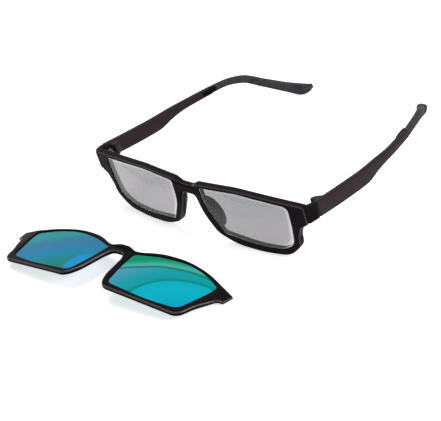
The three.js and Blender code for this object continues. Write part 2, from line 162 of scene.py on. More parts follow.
# right halves of the outlines: u, v, corner radius
FRONT_HALF = [
    (3.6, 31.7, 2.6), (7.4, 33.7, 3), (30.3, 34.5, 60), (66.8, 32, 30), (70, 31.7, 1),
    (70, 22.2, 1.2), (65.2, 19, 2.5), (63.1, 14, 8), (62.5, 8, 10.5), (54.8, 1.2, 14), (39.7, 0.1, 60),
    (23.8, 1.2, 30), (13, 5.9, 9), (8.8, 13.2, 30), (5.5, 21.2, 20), (4, 26.1, 2.4),
]
OPENING = [
    (9.2, 31.9, 1.3), (29.2, 32.9, 80), (60.9, 30.3, 3.4), (60.3, 18.7, 20), (58.8, 8, 8),
    (50.8, 4.2, 13), (37.3, 3.7, 50), (16.8, 6.5, 2.6), (9.9, 19.4, 60),
]
CLIP_HALF = [
    (2.6, 31.6, 4), (7.2, 30, 4), (11, 30.7, 8), (20.9, 35, 40), (36.5, 36.9, 60), (51.8, 34.1, 60),
    (63.5, 29.6, 40), (71.6, 27.1, 1.4), (70.4, 20.8, 1.2), (67.3, 20.3, 3), (61.8, 10, 20), (59.3, 1.5, 6.5),
    (37.6, 0.6, 200), (12.5, 0, 6.5), (8.4, 6.9, 20), (5.7, 20.9, 8), (3.6, 25.6, 3.2),
]
CLIP_OPENING = [
    (8.7, 27.8, 2), (21.9, 32.5, 40), (37.4, 35.1, 60), (51.3, 32.4, 60), (61.5, 27.6, 2.4),
    (61, 22.3, 30), (56.2, 5.6, 6), (38.8, 3, 200), (13.3, 3.7, 4.4), (10.1, 16.4, 60),
]

# stations of the arms: y, outer x, top z, height, thickness
TEMPLE = [
    (SEAM + SEAM_GAP, ARM_X, 30.85, 8.3, 2.9), (30, 72.1, 27.45, 8.6, 2.85), (47, 71.6, 24.65, 8.5, 2.75),
    (57, 71, 23.55, 6.5, 2.75), (67, 70.4, 22.1, 4.8, 2.9), (JOIN, 67.4, 20.05, 4, 3.2),
]
TIP = [
    (TIP_START, 67.4, 20.05, 4, 3.2), (94.7, 65.5, 19.1, 3.7, 3.4), (104.9, 62.2, 16.3, 4.1, 3.4),
    (115.5, 56.4, 8.5, 4.6, 3.4), (124.2, 49.9, 2, 5.4, 3.5), (129, 45, -0.9, 6.4, 3.6),
    (131.6, 41.8, -1.9, 4.8, 3.4), (133.4, 39.8, -2.5, 2.8, 2.2),
]
# how far the right tip is bent in and up from the left one's mirror image, per station
TIP_BEND = [(0, 0), (0.1, 0.4), (0.7, 1.6), (2.8, 2.6), (4.3, 2.7), (3, 3.2), (0.4, 2.5), (-0.7, 1.7)]
# ring at the join of temple and tip, raised a little and given the darkest black as painted shade for the
# hollow there
SHADE_COLLAR = [
    (JOIN - 6, 67.6, 20.35, 2.4, 2.9), (JOIN - 3, 67.1, 20.25, 3, 3.1), (JOIN, 66.5, 20.05, 3.2, 3.05),
    (JOIN + 2.2, 66, 19.75, 2.4, 2.7),
]
# stations of the end pieces and of the lump that holds a temple's leaf: y, inner x, outer x, foot, top
END_SHELL = [
    (5.5, 67.6, 69.7, 23.4, 30.9), (5.6, 67.5, 70.45, 22.7, 31.5), (5.8, 67.6, 70.8, 22.4, 31.7),
    (6.2, 67.8, 71.05, 22.2, 31.7), (7.3, 68.4, 71.5, 22.3, 31.5), (9.3, 69, 72.2, 22.4, 31.2),
    (SEAM - 0.45, 69.2, ARM_X, ARM_FOOT - 0.3, ARM_TOP + 0.4),
    (SEAM - 0.13, 69.3, ARM_X - 0.13, ARM_FOOT - 0.17, ARM_TOP + 0.27),
    (SEAM, 69.5, ARM_X - 0.42, ARM_FOOT + 0.12, ARM_TOP - 0.02),
]
HINGE_SEAT = [
    (4.9, 66, 69.4, 23.1, 28.8), (8.5, 65.8, 70, 22.9, 28.6), (SEAM - 0.25, 65.8, 70.2, 22.8, 28.5),
    (SEAM, 66, 70, 23, 28.3),
]
HINGE_BOSS = [
    (14.05, 66.5, 70.8, 23.8, 29), (14.12, 66.1, 70.8, 23.4, 29.4), (14.4, 65.75, 70.8, 23.1, 29.7),
    (15, 65.6, 70.8, 23, 29.8), (16.5, 66, 70.8, 22.8, 29.55), (18.3, 67.3, 70.8, 22.6, 29.1),
    (19.8, 68.6, 70.8, 22.4, 28.6), (21.05, 69.4, 70.8, 22.2, 28), (21.8, 69.9, 70.8, 22.4, 27.6),
]

# where the frame stands and the clip lies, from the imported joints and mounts
joints = {j["name"]: j for j in frame["joints"]}
mounts = {m["name"]: m for m in frame["record"]["mounts"]}
fold = joints["temple_right_fold"]
lean = math.atan2(-fold["axis"][1], fold["axis"][2])
LEAN = np.array([
    (1, 0, 0), (0, math.cos(lean), -math.sin(lean)), (0, math.sin(lean), math.cos(lean))])
stand = np.array(fold["pos_m"]) / MM - LEAN @ (PIN_X, PIN_Y, PIN_MID)


def bow(points):
    """Flat u, v, depth onto the bowed front: x, y, z."""
    u, v, d = np.asarray(points, float).T
    a = np.hypot(u, BRIDGE_EASE)
    s = a - LENS_MID
    slope = (FACE_FORM + s / LENS_CURVE) * u / a
    k = np.hypot(1, slope)
    y = BOW + FACE_FORM * s + s * s / (2 * LENS_CURVE)
    return np.stack([u - d * slope / k, y + d / k, v], -1)


def laid(points):
    """Upright points turned face up about the clip's middle: across, along, height."""
    x, y, z = np.asarray(points, float).T
    c, s = math.cos(CLIP_PITCH), math.sin(CLIP_PITCH)
    return x, (z - CLIP_MID_V) * c + y * s, (z - CLIP_MID_V) * s - y * c


clip_rest = mounts["clip_magnet_bridge_face"]["pos_m"][2] / MM
clip_rest -= laid(bow([(0, BRIDGE_MAGNET_V, -CLIP_GAP - MOUNT_RECESS)]))[2][0]


def standing(points):
    return (np.asarray(points, float) @ LEAN.T + stand) * MM


def lying(points):
    x, along, height = laid(points)
    c, s = math.cos(CLIP_YAW), math.sin(CLIP_YAW)
    east = CLIP_X + x * c - along * s + stand[0]
    north = CLIP_Y + x * s + along * c + stand[1]
    return np.stack([east, north, clip_rest + height], -1) * MM


def flipped(shape):
    return np.asarray(shape[0]) * (-1, 1, 1), shape[1]


def sided(shape, side):
    return flipped(shape) if side == "left" else shape


def eased(share):
    return share * share * (3 - 2 * share)


def joined(*shapes):
    points, faces, start = [], [], 0
    for p, f in shapes:
        points.append(np.asarray(p, float))
        faces += [[i + start for i in face] for face in f]
        start += len(p)
    return np.concatenate(points), faces


def eased_outline(corners, step=1.5, turn=0.13):
    """Closed outline whose corners are rounded by their radius."""
    pts = [np.array(c[:2], float) for c in corners]
    count = len(pts)
    arcs = []
    for i, corner in enumerate(corners):
        back, ahead = pts[i - 1] - pts[i], pts[(i + 1) % count] - pts[i]
        lb, la = np.hypot(*back), np.hypot(*ahead)
        half = math.acos(np.clip(back @ ahead / lb / la, -1, 1)) / 2
        cut = min(corner[2] / math.tan(half), 0.48 * lb, 0.48 * la)
        arcs.append((pts[i] + back / lb * cut, pts[i], pts[i] + ahead / la * cut, math.pi - 2 * half))
    out = []
    for i, (p0, p1, p2, bend) in enumerate(arcs):
        length = np.hypot(*(p1 - p0)) + np.hypot(*(p2 - p1))
        parts = max(math.ceil(length / step), math.ceil(bend / turn))
        for t in np.linspace(0, 1, parts + 1):
            out.append((1 - t) ** 2 * p0 + 2 * t * (1 - t) * p1 + t * t * p2)
        nxt = arcs[(i + 1) % count][0]
        parts = math.ceil(np.hypot(*(nxt - p2)) / step)
        out += [p2 + (nxt - p2) * k / parts for k in range(1, parts)]
    return np.array([p for i, p in enumerate(out) if np.hypot(*(p - out[i - 1])) > 0.04])


def grown(points, by):
    along = np.roll(points, -1, 0) - np.roll(points, 1, 0)
    along /= np.hypot(*along.T)[:, None]
    return points + np.stack([-along[:, 1], along[:, 0]], -1) * by


def mirrored(corners):
    return [(-u, v, r) for u, v, r in reversed(corners)]


def whole(half):
    return half + mirrored(half)


def both_sides(corners):
    return {"right": eased_outline(corners), "left": eased_outline(mirrored(corners))}


def round_over(edge, at, outward, steps=6):
    """Levels of a rounded edge, from a flat face at depth `at` to the wall."""
    angles = np.linspace(0, math.pi / 2, steps)
    return [(-edge * (1 - math.sin(a)), at + outward * edge * (1 - math.cos(a))) for a in angles]


def plate(outer, holes, depth, front_edge, back_edge, start, mid, groove):
    """Flat plate with rounded edges and a lens groove round each hole.

    Also a share per point: 1 in the middle of the outer round-over in front, 0 off it.
    """
    face = [(-front_edge - FLAT_BAND, start)] + round_over(front_edge, start, 1)
    rear = [(-back_edge - FLAT_BAND, start + depth)] + round_over(back_edge, start + depth, -1)
    cut = [(0, mid - groove), (GROOVE, mid - GROOVE_FLOOR), (GROOVE, mid + GROOVE_FLOOR), (0, mid + groove)]
    points, faces, rounds, caps, total = [], [], [], ([], []), 0
    for hole, line in enumerate([outer, *holes]):
        levels = face + (cut if hole else []) + rear[::-1]
        n = len(line)
        for row, (by, at) in enumerate(levels):
            ring = np.column_stack([grown(line, abs(by) if hole else by), np.full(n, at)])
            points.append(ring)
            lean_over = max(0, 1 + by / front_edge) if not hole and row < len(face) else 0
            rounds.append(np.full(n, 2 * lean_over * math.sqrt(1 - lean_over**2)))
            if row:
                a = total + (row - 1) * n
                faces += [[a + i, a + n + i, a + n + (i + 1) % n, a + (i + 1) % n] for i in range(n)]
        caps[0].append((total, points[-len(levels)]))
        caps[1].append((total + (len(levels) - 1) * n, points[-1]))
        total += len(levels) * n
    for lines in caps:
        index = [k for first, ring in lines for k in range(first, first + len(ring))]
        rings = [[Vector(p) for p in ring] for _, ring in lines]
        faces += [[index[k] for k in tri] for tri in geometry.tessellate_polygon(rings)]
    return np.concatenate(points), faces, np.concatenate(rounds)


def lofted(rings):
    n = len(rings[0])
    faces = []
    for row in range(len(rings) - 1):
        a = row * n
        faces += [[a + i, a + (i + 1) % n, a + n + (i + 1) % n, a + n + i] for i in range(n)]
    last = (len(rings) - 1) * n
    faces.append(list(range(n))[::-1])
    faces.append(list(range(last, last + n)))
    return np.concatenate(rings), faces


def lens(line, face, back, inset):
    """Bowed lens with a bevelled edge; also its flat map and share of the way to the rim."""
    mid = (face + back) / 2
    shares = [0.1, 0.25, 0.4, 0.55, 0.68, 0.8, 0.9, 0.96, 1]
    levels = [(-inset, face, s) for s in shares]
    levels += [(LENS_RIM, mid - LENS_LAND, 1), (LENS_RIM, mid + LENS_LAND, 1)]
    levels += [(-inset, back, s) for s in reversed(shares)]
    middle = line.mean(0)
    rings = []
    for by, depth, share in levels:
        ring = (grown(line, by) - middle) * share + middle
        rings.append(np.column_stack([ring, np.full(len(line), depth)]))
    points, faces = lofted(rings)
    low, high = line.min(0), line.max(0)
    spot = (points[:, :2] - low) / (high - low)
    rim = np.repeat([s for _, _, s in levels], len(line))
    return bow(points), faces, spot, rim


def smooth_run(stations, samples):
    """Even samples of a smooth run through the stations."""
    st = np.array(stations, float)
    step = np.diff(st, axis=0)
    product = step[:-1] * step[1:]
    total = step[:-1] + step[1:]
    inner = np.where(product > 0, 2 * product / np.where(total == 0, 1, total), 0)
    slope = np.concatenate([step[:1], inner, step[-1:]])
    out = []
    for x in np.linspace(0, len(st) - 1, samples):
        k = min(int(x), len(st) - 2)
        f = x - k
        h = (2 * f**3 - 3 * f**2 + 1, f**3 - 2 * f**2 + f, 3 * f**2 - 2 * f**3, f**3 - f**2)
        out.append(h[0] * st[k] + h[1] * slope[k] + h[2] * st[k + 1] + h[3] * slope[k + 1])
    return np.array(out)


def rounded_ring(width, height, radius, steps=6):
    ring = []
    for sx, sz, turn in ((1, 1, 0), (-1, 1, 1), (-1, -1, 2), (1, -1, 3)):
        for a in np.linspace(0, math.pi / 2, steps):
            angle = a + turn * math.pi / 2
            ring.append((sx * (width / 2 - radius) + radius * math.cos(angle),
                         sz * (height / 2 - radius) + radius * math.sin(angle)))
    return np.array(ring)


def blade(stations, samples, radius, start_edge, end_edge, square_start=False):
    """Rounded bar swept through stations."""
    run = smooth_run(stations, samples)
    centre = np.stack([run[:, 1] - run[:, 4] / 2, run[:, 0], run[:, 2] - run[:, 3] / 2], -1)
    along = np.gradient(centre, axis=0)
    if square_start:
        along[0] = (0, 1, 0)
    along /= np.linalg.norm(along, axis=1)[:, None]

    def section(i, inset=0.0, shift=0.0):
        forward = along[i]
        out = np.cross(forward, (0, 0, 1))
        out /= np.linalg.norm(out)
        up = np.cross(out, forward)
        width, height = run[i, 4] - 2 * inset, run[i, 3] - 2 * inset
        ring = rounded_ring(width, height, max(0.1, min(radius - 0.6 * inset, 0.48 * width)))
        return centre[i] + ring[:, :1] * out + ring[:, 1:] * up + shift * forward

    angles = (0.35, 0.7, 1.05, 1.4)
    rings = [section(i) for i in range(samples)]
    first = [section(0, start_edge * (1 - math.cos(a)), start_edge * (1 - math.sin(a))) for a in angles]
    rings[0] = section(0, 0, start_edge)
    last = [section(samples - 1, end_edge * (1 - math.cos(a)), end_edge * math.sin(a)) for a in angles]
    return lofted(first[::-1] + rings + last)


def nose_pad():
    """Moulded pad grown back from the nasal side of a rim, in flat coordinates."""
    path = smooth_run(PAD_PATH, PAD_STEPS + 1)
    along = np.gradient(path, axis=0)
    along /= np.hypot(*along.T)[:, None]
    profile = [(-1, 0), (-1, 0.45), (-0.96, 0.72), (-0.8, 0.9), (-0.5, 0.98), (0, 1),
               (0.5, 0.98), (0.8, 0.9), (0.96, 0.72), (1, 0.45), (1, 0)]
    rings = []
    for i, (at, forward) in enumerate(zip(path, along)):
        reach = PAD_LEAST + PAD_REACH * math.sin(math.pi * i / PAD_STEPS) ** PAD_FULLNESS
        rings.append(np.array([
            (at[0] - forward[1] * w + PAD_SPREAD * reach * d, at[1] + forward[0] * w,
             FRONT_DEPTH - PAD_ROOT + (reach + 1) * d) for w, d in profile]))
    return lofted(rings)


def rounded_run(stations, radius):
    """Rounded block through stations: y, inner x, outer x, foot, top."""
    rings = []
    for y, x0, x1, foot, top in stations:
        ring = rounded_ring(x1 - x0, top - foot, min(radius, 0.46 * (x1 - x0)))
        rings.append(np.stack([ring[:, 0] + (x0 + x1) / 2, np.full(len(ring), y),
                               ring[:, 1] + (top + foot) / 2], -1))
    return lofted(rings)


def end_piece():
    """Outer wall of an end piece and the lower seat of its hinge leaf, cleared round the knuckles."""
    clear = drum(PIN_X, PIN_Y, HINGE_FOOT - 3, HINGE_TOP + 3, KNUCKLE_R + KNUCKLE_CLEAR)
    return joined(cut_away(rounded_run(END_SHELL, END_ROUND), clear),
                  cut_away(rounded_run(HINGE_SEAT, SEAT_ROUND), clear))


def hinge_boss():
    """Moulded lump on the inner side of a temple that holds the hinge leaf."""
    return rounded_run(smooth_run(HINGE_BOSS, 33), BOSS_ROUND)


def rounded_box(low, high, radius, segments=3):
    bm = bmesh.new()
    size, middle = np.subtract(high, low), np.add(low, high) / 2
    bmesh.ops.create_cube(bm, size=1, matrix=Matrix.Translation(middle) @ Matrix.Diagonal((*size, 1)))
    bmesh.ops.bevel(bm, geom=bm.edges[:], offset=radius, segments=segments, profile=0.5, affect='EDGES')
    bm.verts.index_update()
    shape = np.array([v.co for v in bm.verts]), [[v.index for v in f.verts] for f in bm.faces]
    bm.free()
    return shape


def drum(x, y, z0, z1, radius, sides=48):
    angles = np.arange(sides) / sides * 2 * math.pi
    ring = np.stack([x + radius * np.cos(angles), y + radius * np.sin(angles)], -1)
    return lofted([np.column_stack([ring, np.full(sides, z)]) for z in (z0, z1)])


def plain_mesh(name, shape, place):
    mesh = bpy.data.meshes.new(name)
    mesh.from_pydata([tuple(p) for p in place(shape[0])], [], shape[1])
    bm = bmesh.new()
    bm.from_mesh(mesh)
    bmesh.ops.recalc_face_normals(bm, faces=bm.faces)
    bm.to_mesh(mesh)
    bm.free()
    return mesh


def mark(mesh, name, values):
    """Sets a number on each point; points past the last value get 0."""
    full = np.zeros(len(mesh.vertices), np.float32)
    full[:len(values)] = values
    mesh.attributes.new(name, 'FLOAT', 'POINT').data.foreach_set("value", full)


def loose(name, mesh):
    thing = bpy.data.objects.new(name, mesh)
    scene.collection.objects.link(thing)
    return thing


def made_plain(thing):
    """Mesh of an object with its modifiers in it; the object goes."""
    bpy.context.view_layer.update()
    ready = thing.evaluated_get(bpy.context.evaluated_depsgraph_get())
    mesh = bpy.data.meshes.new_from_object(ready)
    bpy.data.objects.remove(thing)
    return mesh


def cut_away(shape, *cutters):
    """Shape with the cutters taken out of it."""
    thing = loose("blank", plain_mesh("blank", shape, np.asarray))
    tools = [loose("cutter", plain_mesh("cutter", c, np.asarray)) for c in cutters]
    for tool in tools:
        step = thing.modifiers.new("cut", 'BOOLEAN')
        step.operation = 'DIFFERENCE'
        step.solver = 'EXACT'
        step.object = tool
    mesh = made_plain(thing)
    for tool in tools:
        bpy.data.objects.remove(tool)
    return np.array([v.co for v in mesh.vertices]), [list(p.vertices) for p in mesh.polygons]


def piece(name, mesh, body, slot, finish, nodes=(), sharp=40):
    """Finished object that rides on a body; nodes are the CAD's that it replaces."""
    mesh.materials.clear()
    mesh.materials.append(finish)
    mesh.shade_smooth()
    mesh.set_sharp_from_angle(angle=math.radians(sharp))
    thing = loose(name, mesh)
    # the clip's mirrors show the white room and not the front, as in the photo
    thing.visible_glossy = slot not in ("shell", "tinted_lens")
    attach(thing, body)
    if nodes:
        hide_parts(*nodes)
    return thing


def add(tree, kind, settings=None, **inputs):
    """New node with its settings, and its inputs set or linked; _ stands for a space."""
    node = tree.nodes.new(kind)
    for key, value in (settings or {}).items():
        setattr(node, key, value)
    for key, value in inputs.items():
        socket = node.inputs[int(key[1:]) if key[0] == "_" else key.replace("_", " ")]
        if isinstance(value, bpy.types.NodeSocket):
            tree.links.new(value, socket)
        else:
            socket.default_value = value
    return node


def worked(tree, operation, *values):
    """Result of a maths node on numbers or sockets."""
    links = {f"_{i}": v for i, v in enumerate(values)}
    return add(tree, 'ShaderNodeMath', {"operation": operation}, **links).outputs[0]


def ramp(tree, factor, *stops):
    node = add(tree, 'ShaderNodeValToRGB', Fac=factor)
    band = node.color_ramp
    while len(band.elements) < len(stops):
        band.elements.new(0.5)
    for element, (at, colour) in zip(band.elements, stops):
        element.position = at
        element.color = (*shade(colour), 1)
    return node.outputs["Color"]


def shade(colour):
    """Screen colour, 0 to 255, as the light it stands for."""
    return [(c / 255 / 12.92) if c < 11 else ((c / 255 + 0.055) / 1.055) ** 2.4 for c in colour]


# tints of reflections, depth of the moulded grain, and the area that a mirror coat's bands of hue and painted
# reflection are laid out on
BLACK_SHEEN = (1, 0.84, 0.95, 1)
COAT_SHEEN = (0.7, 0.9, 0.95, 1)
GRAIN_DEPTH = 0.12 * MM
COAT_SIZE = (52.8, 32.4)
COAT_FOOT = 2.7


def new_finish(name, **constants):
    material = bpy.data.materials.new(name)
    material.use_nodes = True
    tree = material.node_tree
    shader = tree.nodes["Principled BSDF"]
    for key, value in constants.items():
        shader.inputs[key.replace("_", " ")].default_value = value
    place = add(tree, 'ShaderNodeTexCoord').outputs["Object"]
    return material, tree, shader, place


def spread(tree, value, low, high):
    return add(tree, 'ShaderNodeMapRange', Value=value, To_Min=low, To_Max=high).outputs["Result"]


def moulded(name, dark, light, cloud, grain, rough, lift, gloss):
    """Moulded plastic or rubber: clouded colour, fine grain and uneven sheen.

    gloss is for flat faces and for a plate's outer round-over.
    """
    material, tree, shader, place = new_finish(name, Specular_Tint=BLACK_SHEEN)
    edge = add(tree, 'ShaderNodeAttribute', {"attribute_name": "round_share"}).outputs["Fac"]
    tree.links.new(spread(tree, edge, *gloss), shader.inputs["Specular IOR Level"])
    soft = add(tree, 'ShaderNodeTexNoise', Vector=place, Scale=cloud, Detail=3.0).outputs["Fac"]
    fine = add(tree, 'ShaderNodeTexNoise', Vector=place, Scale=grain, Detail=2.0).outputs["Fac"]
    tree.links.new(ramp(tree, soft, (0.32, dark), (0.7, light)), shader.inputs["Base Color"])
    tree.links.new(spread(tree, soft, *rough), shader.inputs["Roughness"])
    bump = add(tree, 'ShaderNodeBump', Height=fine, Strength=lift, Distance=GRAIN_DEPTH)
    tree.links.new(bump.outputs["Normal"], shader.inputs["Normal"])
    return material


def tinted_glass():
    """Grey lens, paler towards its edge, where the paler tint is a painted highlight along the bevel."""
    material, tree, shader, place = new_finish(
        "grey_tinted_lens", Transmission_Weight=1.0, IOR=1.3, Roughness=0.0, Specular_IOR_Level=0.3)
    rim = add(tree, 'ShaderNodeAttribute', {"attribute_name": "rim_share"}).outputs["Fac"]
    cloud = add(tree, 'ShaderNodeTexNoise', Vector=place, Scale=35.0, Detail=1.0).outputs["Fac"]
    near = worked(tree, 'MULTIPLY_ADD', cloud, 0.05, rim)
    # the pale last stop at the rim is a painted highlight along the lens's bevelled edge
    tint_and_edge_highlight = ramp(tree, near, (0.0, (140, 138, 141)), (0.93, (143, 141, 144)), (1.0, (178, 177, 179)))
    tree.links.new(tint_and_edge_highlight, shader.inputs["Base Color"])
    return material


def distance(tree, flat, low, middle, stretch, reach):
    """Distance on the lens from a middle point, in parts of the reach."""
    scale = [n * k / reach for n, k in zip(COAT_SIZE, stretch)]
    shift = [(a - m) * k / reach for a, m, k in zip(low, middle, stretch)]
    moved = add(tree, 'ShaderNodeMapping', Vector=flat, Location=(*shift, 0), Scale=(*scale, 0))
    length = add(tree, 'ShaderNodeVectorMath', {"operation": 'LENGTH'}, _0=moved.outputs["Vector"])
    return length.outputs["Value"]


def coat_and_painted_reflections(name, start, base, stops, over, over_stops, edge):
    """Coloured mirror coat: hues in curved bands, with a second set laid over one part of the lens.

    The bands are partly the coat's own hue and partly painted reflection: pale loops and dark arcs stand for
    the room mirrored in the lens. start is the lens's lowest u; base and over are each a middle, a stretch
    and a reach in millimetres.
    """
    material, tree, shader, place = new_finish(
        name, Metallic=1.0, Roughness=0.05, Specular_Tint=COAT_SHEEN)
    flat = add(tree, 'ShaderNodeUVMap', {"uv_map": "lens_map"}).outputs["UV"]
    cloud = add(tree, 'ShaderNodeTexNoise', Vector=place, Scale=45.0, Detail=2.0).outputs["Fac"]
    colours = []
    for field, bands, wave in ((base, stops, 0.05), (over, over_stops, 0.03)):
        far = distance(tree, flat, (start, COAT_FOOT), *field)
        level = worked(tree, 'MULTIPLY_ADD', cloud, wave, far)
        colours.append(ramp(tree, level, *bands))
    part = add(tree, 'ShaderNodeMapRange', {"interpolation_type": 'SMOOTHSTEP'}, Value=level,
               From_Min=edge[0], From_Max=edge[1]).outputs["Result"]
    mixed = add(tree, 'ShaderNodeMix', {"data_type": 'RGBA'})
    for socket, source in zip((0, 6, 7), (part, *colours)):
        tree.links.new(source, mixed.inputs[socket])
    tree.links.new(mixed.outputs[2], shader.inputs["Base Color"])
    return material


def bare_metal(name, dark, light, rough):
    """Turned metal with fine streaks."""
    material, tree, shader, place = new_finish(name, Metallic=1.0)
    turned = add(tree, 'ShaderNodeMapping', Vector=place, Scale=(900, 900, 9000)).outputs["Vector"]
    streak = add(tree, 'ShaderNodeTexNoise', Vector=turned, Scale=1.0, Detail=2.0).outputs["Fac"]
    tree.links.new(ramp(tree, streak, (0.3, dark), (0.7, light)), shader.inputs["Base Color"])
    tree.links.new(spread(tree, streak, *rough), shader.inputs["Roughness"])
    return material


black_front = moulded(
    "satin_black_front", (20, 12, 18), (27, 17, 24), 160.0, 5200.0, (0.36, 0.46), 0.16, (0.025, 0.55))
brown_black = moulded(
    "matt_brown_black_temple", (27, 16, 23), (34, 22, 30), 120.0, 4200.0, (0.5, 0.62), 0.25, (0.15, 0.3))
charcoal = moulded(
    "charcoal_rubber_tip", (42, 39, 44), (66, 63, 69), 420.0, 2300.0, (0.72, 0.86), 0.7, (0.15, 0.3))
black_clip = moulded(
    "satin_black_clip", (11, 7, 9), (17, 11, 14), 160.0, 5200.0, (0.22, 0.32), 0.12, (0.02, 0.7))
grey_lens = tinted_glass()
# the dark arc round 0.535 to 0.56 and the pale loop round 0.795 are painted reflections laid over the coat's
# green and cyan
right_mirror = coat_and_painted_reflections(
    "green_to_cyan_mirror", 8.7, ((58, 2), (0.8, 1), 45),
    [(0.0, (0, 160, 196)), (0.42, (0, 178, 200)), (0.535, (0, 172, 190)), (0.56, (0, 134, 126)),
     (0.6, (0, 156, 164)), (0.74, (34, 156, 170)), (0.9, (84, 150, 184))],
    ((51.4, -29.1), (1, 1), 80),
    [(0.755, (0, 120, 90)), (0.775, (0, 126, 96)), (0.795, (80, 180, 166)), (0.82, (40, 162, 144)),
     (0.85, (0, 142, 100))], (0.757, 0.772))
left_mirror = coat_and_painted_reflections(
    "blue_to_teal_mirror", -61.5, ((-0.5, -40.3), (1, 1), 100),
    [(0.52, (0, 124, 116)), (0.6, (0, 128, 134)), (0.645, (0, 128, 166)), (0.72, (44, 116, 164)),
     (0.8, (44, 118, 152)), (0.86, (36, 142, 142))],
    ((-12, 10), (1, 0.8), 30),
    [(0.1, (0, 146, 206)), (0.3, (0, 136, 198))], (0.29, 0.25))
dark_steel = bare_metal("dark_hinge_steel", (70, 66, 68), (120, 112, 112), (0.3, 0.45))
nickel = bare_metal("nickel_magnet", (165, 164, 162), (205, 204, 202), (0.2, 0.32))


def repeat_tree(name, **sizes):
    """Empty tree that sets a form on each place, along its facing."""
    tree = bpy.data.node_groups.new(name, 'GeometryNodeTree')
    face = tree.interface
    face.new_socket("Places", in_out='INPUT', socket_type='NodeSocketGeometry')
    for label, value in sizes.items():
        face.new_socket(label, in_out='INPUT', socket_type='NodeSocketFloat').default_value = value
    face.new_socket("Finish", in_out='INPUT', socket_type='NodeSocketMaterial')
    face.new_socket("Forms", in_out='OUTPUT', socket_type='NodeSocketGeometry')
    return tree, add(tree, 'NodeGroupInput').outputs


def close_tree(tree, given, form):
    facing = add(tree, 'GeometryNodeInputNamedAttribute', {"data_type": 'FLOAT_VECTOR'}, Name="facing")
    turn = add(tree, 'FunctionNodeAlignRotationToVector', {"axis": 'Z'}, Vector=facing.outputs["Attribute"])
    forms = add(tree, 'GeometryNodeInstanceOnPoints', Points=given["Places"], Instance=form,
                Rotation=turn.outputs["Rotation"])
    real = add(tree, 'GeometryNodeRealizeInstances', Geometry=forms.outputs["Instances"])
    done = add(tree, 'GeometryNodeSetMaterial', Geometry=real.outputs["Geometry"], Material=given["Finish"])
    add(tree, 'NodeGroupOutput', Forms=done.outputs["Geometry"])
    return tree


def chamfered(tree, radius, height, edge, sides=40):
    """Round disc with a chamfer on both rims."""
    trim = worked(tree, 'MULTIPLY', edge, 2.0)
    body = worked(tree, 'SUBTRACT', height, trim)
    inner = worked(tree, 'SUBTRACT', radius, edge)
    share = worked(tree, 'DIVIDE', inner, radius)
    disc = add(tree, 'GeometryNodeMeshCylinder', Vertices=sides, Radius=radius, Depth=body)
    form, ends = disc.outputs["Mesh"], (disc.outputs["Top"], disc.outputs["Bottom"])
    for end in ends:
        pull = add(tree, 'GeometryNodeExtrudeMesh', Mesh=form, Selection=end, Offset_Scale=edge)
        fit = add(tree, 'GeometryNodeScaleElements', Geometry=pull.outputs["Mesh"],
                  Selection=pull.outputs["Top"], Scale=share)
        form = fit.outputs["Geometry"]
    return form


def magnet_tree():
    tree, given = repeat_tree("seated_magnets", Radius=MAGNET_R * MM, Height=MAGNET_H * MM,
                              Edge=MAGNET_EDGE * MM)
    return close_tree(tree, given, chamfered(tree, given["Radius"], given["Height"], given["Edge"]))


def knuckle_tree():
    tree, given = repeat_tree("hinge_knuckles", Radius=KNUCKLE_R * MM, Height=KNUCKLE_H * MM,
                              Bore=BORE_R * MM, Edge=KNUCKLE_EDGE * MM)
    barrel = chamfered(tree, given["Radius"], given["Height"], given["Edge"])
    drill = add(tree, 'GeometryNodeMeshCylinder', Vertices=32, Radius=given["Bore"], Depth=DRILL_L * MM)
    tube = add(tree, 'GeometryNodeMeshBoolean', {"operation": 'DIFFERENCE'}, Mesh_1=barrel)
    tree.links.new(drill.outputs["Mesh"], tube.inputs["Mesh 2"])
    return close_tree(tree, given, tube.outputs["Mesh"])


def screw_tree():
    tree, given = repeat_tree(
        "hinge_screws", Radius=SCREW_R * MM, Length=SCREW_L * MM, Head_Radius=SCREW_HEAD_R * MM,
        Head_Height=SCREW_HEAD_H * MM, Slot=SCREW_SLOT * MM)
    shank = chamfered(tree, given["Radius"], given["Length"], SCREW_EDGE * MM)
    head = chamfered(tree, given["Head_Radius"], given["Head_Height"], SCREW_HEAD_EDGE * MM)
    half = worked(tree, 'DIVIDE', given["Length"], 2.0)
    lift = add(tree, 'ShaderNodeCombineXYZ', Z=half).outputs["Vector"]
    raised = add(tree, 'GeometryNodeTransform', Geometry=head, Translation=lift).outputs["Geometry"]
    size = add(tree, 'ShaderNodeCombineXYZ', X=SLOT_L * MM, Y=given["Slot"],
               Z=given["Slot"]).outputs["Vector"]
    bar = add(tree, 'GeometryNodeMeshCube', Size=size).outputs["Mesh"]
    above = worked(tree, 'DIVIDE', given["Head_Height"], 2.0)
    head_top = worked(tree, 'ADD', half, above)
    high = add(tree, 'ShaderNodeCombineXYZ', Z=head_top).outputs["Vector"]
    bar = add(tree, 'GeometryNodeTransform', Geometry=bar, Translation=high)
    cut = add(tree, 'GeometryNodeMeshBoolean', {"operation": 'DIFFERENCE'}, Mesh_1=raised)
    tree.links.new(bar.outputs["Geometry"], cut.inputs["Mesh 2"])
    both = add(tree, 'GeometryNodeJoinGeometry')
    for part in (shank, cut.outputs["Mesh"]):
        tree.links.new(part, both.inputs["Geometry"])
    return close_tree(tree, given, both.outputs["Geometry"])


def set_out(name, tree, places, facings, finish, **sizes):
    """Plain mesh of a form set on each place, in metres."""
    mesh = bpy.data.meshes.new(name)
    mesh.from_pydata([tuple(p) for p in places], [], [])
    facing = mesh.attributes.new("facing", 'FLOAT_VECTOR', 'POINT')
    facing.data.foreach_set("vector", np.asarray(facings, np.float32).ravel())
    thing = loose(name + "_places", mesh)
    step = thing.modifiers.new("set_out", 'NODES')
    step.node_group = tree
    values = {"Finish": finish, **sizes}
    for item in tree.interface.items_tree:
        if item.in_out == 'INPUT' and item.name in values:
            step[item.identifier] = values[item.name]
    out = made_plain(thing)
    out.name = name
    return out


